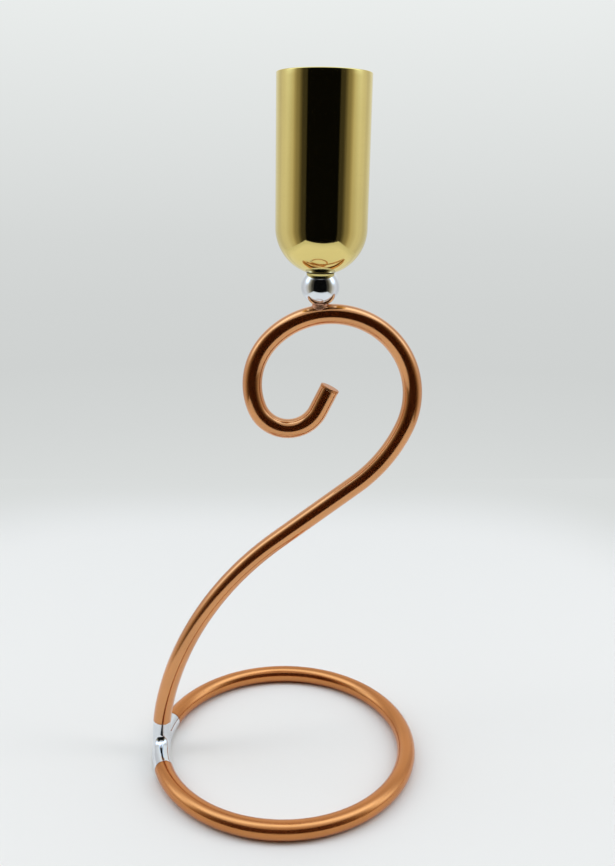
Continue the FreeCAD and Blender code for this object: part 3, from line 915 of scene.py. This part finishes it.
def tee_surface(place):
    """Moves a place onto the tee: its run and its arm with a fillet where they meet, which runs
    out where the two are level with each other."""
    for _ in range(SURFACE_ROUNDS):
        run, run_out = run_distance(place)
        arm, arm_out = arm_distance(place)
        fillet = tube_sizes().tee_fillet * run_out.cross(arm_out).length_squared
        near = Vector((max(fillet - run, 0), max(fillet - arm, 0)))
        distance = max(fillet, min(run, arm)) - near.length
        if near.x > 0 and near.y > 0:
            out = run_out * near.x + arm_out * near.y
        else:
            out = run_out if run < arm else arm_out
        place = place - out.normalized() * distance
    return place


def tee_plug(bender, turn):
    """Broken edge, end wall and plug of one of the tee's ends."""
    sizes = tube_sizes()
    groove = sizes.joint_groove
    bender.break_edge(sizes.tube_radius, groove)
    bender.extrude(0)
    plug = sizes.tube_radius - sizes.wall - PLUG_GAP
    bender.scale_loop(plug / (sizes.tube_radius - groove))
    turn(bender)
    bender.break_edge(plug, PLUG_EDGE * groove)
    bender.close()


def make_joint_tee():
    """Bends the run, opens its top, and joins the arm to the opening with a fillet."""
    sizes = tube_sizes()
    radius = sizes.tube_radius
    ring_centre = Vector((0, 0, radius))
    reach = (sizes.tee_reach - sizes.joint_groove) / sizes.ring_radius
    plug = (sizes.plug_length - (1 + PLUG_EDGE) * sizes.joint_groove) / sizes.ring_radius
    start, heading = on_ring(math.pi - reach)
    bm = bmesh.new()
    bender = Bender(bm, start, heading, UP, radius, sizes.sides)
    bender.bend(ring_centre, UP, 2 * reach, sizes.step / 2)
    tee_plug(bender, lambda pen: pen.bend(ring_centre, UP, plug, sizes.step))
    bender.turn_back(start, -heading)
    tee_plug(bender, lambda pen: pen.bend(ring_centre, -UP, plug, sizes.step))

    def under_arm(place):
        near = abs(place.y) < radius + 2 * sizes.tee_fillet
        return near and place.z > radius and abs(run_distance(place)[0]) < NEAR_SURFACE

    top = [face for face in bm.faces if under_arm(face.calc_center_median())]
    rim = {edge for face in top for edge in face.edges}
    rim = [edge for edge in rim if sum(face in top for face in edge.link_faces) == 1]
    bmesh.ops.delete(bm, geom=top, context="FACES")
    rim = [edge for edge in rim if edge.is_valid]
    lean = sizes.arm_turn
    foot = Vector((-sizes.ring_radius, 0, radius + sizes.arm_rise))
    rise = Bender(bm, foot, UP, SIDEWAYS, radius, len(rim))
    rise.bend_flat(sizes.foot_radius, ARM_SHARE * lean, sizes.foot_radius * lean)
    bmesh.ops.delete(bm, geom=rise.first_loop, context="VERTS")
    rise.first_loop = list(rise.loop)
    foot_edges = edges_among(rise.loop)
    groove = sizes.joint_groove / sizes.foot_radius
    rise.bend_flat(sizes.foot_radius, (1 - ARM_SHARE) * lean - groove, sizes.step / 2)
    arm_plug = sizes.plug_length / sizes.foot_radius - (1 + PLUG_EDGE) * groove
    tee_plug(rise, lambda pen: pen.bend_flat(sizes.foot_radius, arm_plug, sizes.step))
    bridge = bmesh.ops.bridge_loops(bm, edges=rim + foot_edges)
    across = only(bmesh.types.BMEdge, bridge["edges"])
    cut = bmesh.ops.subdivide_edges(bm, edges=across, cuts=FILLET_CUTS, use_grid_fill=True)
    inner = set(only(bmesh.types.BMVert, cut["geom_inner"]))
    smoothing = {"factor": SMOOTHING, "use_axis_x": True, "use_axis_y": True, "use_axis_z": True}
    for _ in range(FILLET_ROUNDS):
        bmesh.ops.smooth_vert(bm, verts=list(inner), **smoothing)
        for vert in inner:
            vert.co = tee_surface(vert.co.copy())
    finish_piece(bm, "joint_tee", metal("tee_chrome"))


class HOLDER_OT_base_ring(bpy.types.Operator):
    """Bend the satin copper ring"""

    bl_idname = "holder.base_ring"
    bl_label = "Base Ring"

    def execute(self, context):
        make_base_ring()
        return {"FINISHED"}


class HOLDER_OT_scroll_tube(bpy.types.Operator):
    """Bend the polished copper scroll"""

    bl_idname = "holder.scroll_tube"
    bl_label = "Scroll Tube"

    def execute(self, context):
        make_scroll_tube()
        return {"FINISHED"}


class HOLDER_OT_candle_cup(bpy.types.Operator):
    """Spin the polished brass cup"""

    bl_idname = "holder.candle_cup"
    bl_label = "Candle Cup"

    def execute(self, context):
        make_candle_cup()
        return {"FINISHED"}


class HOLDER_OT_spacer_ball(bpy.types.Operator):
    """Turn the chrome ball"""

    bl_idname = "holder.spacer_ball"
    bl_label = "Ball"

    def execute(self, context):
        make_spacer_ball()
        return {"FINISHED"}


class HOLDER_OT_joint_tee(bpy.types.Operator):
    """Form the chrome tee that joins the ring's ends and the scroll"""

    bl_idname = "holder.joint_tee"
    bl_label = "Tee"

    def execute(self, context):
        make_joint_tee()
        return {"FINISHED"}


class HOLDER_OT_tube_fittings(bpy.types.Operator):
    """Make the boss on the crown and the disc on the free end"""

    bl_idname = "holder.tube_fittings"
    bl_label = "Boss and End Disc"

    def execute(self, context):
        make_cup_boss()
        make_end_plug()
        return {"FINISHED"}


class HOLDER_OT_fixings(bpy.types.Operator):
    """Make the washers and finish the screw"""

    bl_idname = "holder.fixings"
    bl_label = "Washers and Screw"

    def execute(self, context):
        zinc = metal("zinc_plate")
        # The seat washer's near-black fibre also paints the shade line in the crease under the cup.
        make_washer("seat_washer", washer_fibre_and_painted_shade(), SEAT_WASHER_EDGE)
        make_washer("cup_washer", zinc, CUP_WASHER_EDGE)
        screw = frame["nodes"]["cup_screw"].data
        screw.materials.clear()
        screw.materials.append(zinc)
        return {"FINISHED"}


def rays(nodes, *names):
    """1 for the named kinds of rays and 0 for others."""
    path = nodes.add("ShaderNodeLightPath").outputs
    share = path[names[0]]
    for name in names[1:]:
        share = nodes.maths("MAXIMUM", share, path[name])
    return share


def floor_span():
    """Middle and half depth of the floor, along Y."""
    back, front = stage_settings().floor_back, stage_settings().floor_front
    return (back + front) / 2, (back - front) / 2


def floor_material():
    """Pale floor whose edges fade into the background where the camera sees them."""
    stage = stage_settings()
    material, nodes, shader = new_material("floor")
    shader.inputs["Metallic"].default_value = 0.0
    shader.inputs["Roughness"].default_value = FLOOR_ROUGHNESS
    shader.inputs["Specular IOR Level"].default_value = FLOOR_SHINE
    shader.inputs["Base Color"].default_value = opaque(stage.floor_colour)
    parts = nodes.add("ShaderNodeSeparateXYZ", {0: object_place(nodes)}).outputs
    middle, half_depth = floor_span()
    across = nodes.maths("DIVIDE", parts["X"], stage.floor_half_width)
    along = nodes.maths("DIVIDE", nodes.maths("SUBTRACT", parts["Y"], middle), half_depth)
    # The fourth powers make a square with round corners, 1 at the floor's edges.
    sides = [nodes.maths("ABSOLUTE", part) for part in (across, along)]
    fourths = [nodes.maths("POWER", part, 4.0) for part in sides]
    edge = nodes.maths("POWER", nodes.maths("ADD", *fourths), 0.25)
    fade = nodes.span(edge, 1 - stage.fade_width / half_depth, 1.0, smooth=True)
    seen = rays(nodes, "Is Camera Ray", "Is Glossy Ray", "Is Transmission Ray")
    far = nodes.add("ShaderNodeEmission", {"Color": opaque(stage.wall_tint, FAR_TONE)})
    nodes.mix_shaders(nodes.times(fade, seen), shader, far)
    return material


def make_floor():
    middle, half_depth = floor_span()
    bm = bmesh.new()
    bmesh.ops.create_grid(bm, x_segments=1, y_segments=1, size=1)
    bmesh.ops.scale(bm, verts=bm.verts, vec=(stage_settings().floor_half_width, half_depth, 1))
    bmesh.ops.translate(bm, verts=bm.verts, vec=(0, middle, 0))
    add_mesh(bm, "floor", floor_material())


def tone_curve(nodes, value, points):
    """Tone against a value in radians, through points of degrees, brightness and any warmth."""
    low, high = points[0][0], points[-1][0]
    share = nodes.span(value, math.radians(low), math.radians(high))
    ramp = nodes.add("ShaderNodeValToRGB", {0: share})
    stops = ramp.color_ramp.elements
    while len(stops) < len(points):
        stops.new(0.5)
    for stop, (angle, tone, *warmth) in zip(stops, points):
        stop.position = (angle - low) / (high - low)
        green, blue = 1 - WARM_GREEN * sum(warmth), 1 - WARM_BLUE * sum(warmth)
        stop.color = (tone, tone * green, tone * blue, 1.0)
    return ramp.outputs["Color"]


def radians_of(*angles):
    return tuple(math.radians(angle) for angle in angles)


def make_tent():
    """White tent with a dark opening in front, as metal and floor see it. The camera sees a plain
    wall that pales with height, and so does metal that reflects what is behind the object."""
    stage = stage_settings()
    world = bpy.data.worlds.new("tent")
    world.use_nodes = True
    bpy.context.scene.world = world
    nodes = Nodes(world.node_tree)
    direction = nodes.add("ShaderNodeTexCoord").outputs["Generated"]
    parts = nodes.add("ShaderNodeSeparateXYZ", {0: direction}).outputs
    height = nodes.maths("ARCSINE", parts["Z"])
    to_camera = nodes.times(parts["Y"], -1.0)
    turn = nodes.maths("ARCTAN2", parts["X"], to_camera)
    side = nodes.maths("ABSOLUTE", nodes.maths("SUBTRACT", turn, stage.opening_turn))

    soft = math.radians(OPENING_SOFT)
    edge = stage.opening_high
    ceiling = nodes.span(height, edge - soft, edge + soft, smooth=True)
    tent = nodes.blend(ceiling, tone_curve(nodes, side, TENT_SIDES), opaque(stage.ceiling))

    beside = nodes.maths("SUBTRACT", side, math.pi / 2)
    above = nodes.maths("SUBTRACT", height, stage.glow_height)
    squares = [nodes.times(part, part) for part in (beside, above)]
    bell = nodes.times(nodes.maths("ADD", *squares), -1 / stage.glow_width**2)
    glow = nodes.times(nodes.maths("EXPONENT", bell), stage.glow_light)

    over = nodes.maths("ARCSINE", parts["Y"])
    bell = nodes.times(nodes.times(over, over), -1 / stage.top_width**2)
    top = nodes.times(nodes.maths("EXPONENT", bell), stage.top_light)
    high_up = nodes.span(height, *radians_of(*TOP_LAMPS), smooth=True)
    lamps = nodes.maths("ADD", glow, nodes.times(top, high_up))
    tent = nodes.vector("ADD", tent, nodes.vector("MULTIPLY", lamps, stage.lamp_tint))

    wall = nodes.vector("MULTIPLY", tone_curve(nodes, height, WALL_HEIGHTS), stage.wall_tint)
    behind = nodes.span(side, *radians_of(*WALL_TURNS), smooth=True)
    low_down = nodes.span(height, *radians_of(*WALL_TOP), 1.0, 0.0, smooth=True)
    mirrored = nodes.times(behind, low_down)
    seen = nodes.times(rays(nodes, "Is Glossy Ray"), mirrored)
    seen = nodes.maths("MAXIMUM", seen, rays(nodes, "Is Camera Ray", "Is Transmission Ray"))
    background = world.node_tree.nodes["Background"]
    nodes.feed(background.inputs["Color"], nodes.blend(seen, tent, wall))
    background.inputs["Strength"].default_value = stage.tent_light


def make_lamp(name, turn):
    """Soft lamp that faces the holder's middle, turned to the right from the camera's side."""
    light = bpy.data.lights.new(name, "AREA")
    light.shape = "RECTANGLE"
    light.size, light.size_y = LAMP_SIZE
    light.energy = stage_settings().lamp_power
    lamp = add_object(name, light)
    turn, height = radians_of(turn, LAMP_HEIGHT)
    level = math.cos(height)
    away = Vector((math.sin(turn) * level, -math.cos(turn) * level, math.sin(height)))
    lamp.location = LAMP_AIM + away * LAMP_DISTANCE
    lamp.rotation_mode = "QUATERNION"
    lamp.rotation_quaternion = away.to_track_quat("Z", "Y")
    lamp.visible_camera = False
    lamp.visible_glossy = False


def make_camera():
    stage = stage_settings()
    data = bpy.data.cameras.new("camera")
    data.lens = stage.lens * 1000
    data.sensor_width = SENSOR_WIDTH
    camera = add_object("camera", data)
    camera.matrix_world = (
        Matrix.Translation(stage.camera_place)
        @ Matrix.Rotation(stage.camera_yaw, 4, "Z")
        @ Matrix.Rotation(math.pi / 2 + stage.camera_pitch, 4, "X")
        @ Matrix.Rotation(stage.camera_roll, 4, "Z")
    )
    bpy.context.scene.camera = camera


class HOLDER_OT_stage(bpy.types.Operator):
    """Set up the floor, the tent, the lamps and the camera"""

    bl_idname = "holder.stage"
    bl_label = "Stage"

    def execute(self, context):
        context.scene.view_settings.view_transform = "Standard"
        make_floor()
        make_tent()
        make_lamp("lamp_left", -LAMP_TURN)
        make_lamp("lamp_right", LAMP_TURN)
        make_camera()
        return {"FINISHED"}


OPERATORS = (
    HOLDER_OT_base_ring,
    HOLDER_OT_scroll_tube,
    HOLDER_OT_candle_cup,
    HOLDER_OT_spacer_ball,
    HOLDER_OT_joint_tee,
    HOLDER_OT_tube_fittings,
    HOLDER_OT_fixings,
    HOLDER_OT_stage,
)


class HOLDER_PT_panel(bpy.types.Panel):
    """Lists the holder's pieces and its stage"""

    bl_label = "Candle Holder"
    bl_idname = "HOLDER_PT_panel"
    bl_space_type = "VIEW_3D"
    bl_region_type = "UI"
    bl_category = "Candle Holder"

    def draw(self, context):
        for operator in OPERATORS:
            self.layout.operator(operator.bl_idname)


GROUPS = (
    (HolderTubeSizes, "holder_tube"),
    (HolderCupSizes, "holder_cup"),
    (HolderFinish, "holder_finish"),
    (HolderStage, "holder_stage"),
)


def register():
    for group, name in GROUPS:
        bpy.utils.register_class(group)
        setattr(bpy.types.Scene, name, bpy.props.PointerProperty(type=group))
    for item in (*OPERATORS, HOLDER_PT_panel):
        bpy.utils.register_class(item)


def unregister():
    for item in reversed((*OPERATORS, HOLDER_PT_panel)):
        bpy.utils.unregister_class(item)
    for group, name in reversed(GROUPS):
        delattr(bpy.types.Scene, name)
        bpy.utils.unregister_class(group)


def main():
    register()
    bpy.ops.holder.base_ring()
    bpy.ops.holder.scroll_tube()
    bpy.ops.holder.candle_cup()
    bpy.ops.holder.spacer_ball()
    bpy.ops.holder.joint_tee()
    bpy.ops.holder.tube_fittings()
    bpy.ops.holder.fixings()
    bpy.ops.holder.stage()


if __name__ == "__main__":
    main()
